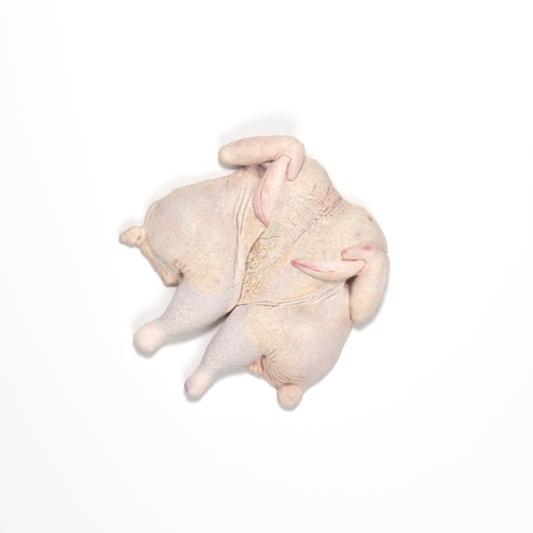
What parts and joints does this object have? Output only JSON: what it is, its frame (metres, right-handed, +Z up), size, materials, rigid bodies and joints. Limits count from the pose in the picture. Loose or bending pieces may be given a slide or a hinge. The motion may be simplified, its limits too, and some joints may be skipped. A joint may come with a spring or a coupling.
{
  "type": "butterflied raw chicken",
  "caption": "Whole raw chicken, opened flat and lying skin side up, with its wings folded over the breast and its drumsticks together.",
  "frame": {"origin": "middle of the bird's box, at the level of the flat side that it lies on", "axes": "+Y from the drumstick ends to the neck, +X to the right seen from above, +Z up, out of the breast"},
  "size_m": [0.3001, 0.3166, 0.0532],
  "materials": {
    "skin": "wet satin skin"
  },
  "bodies": {
    "root": {"chicken": "skin"}
  },
  "joints": []
}
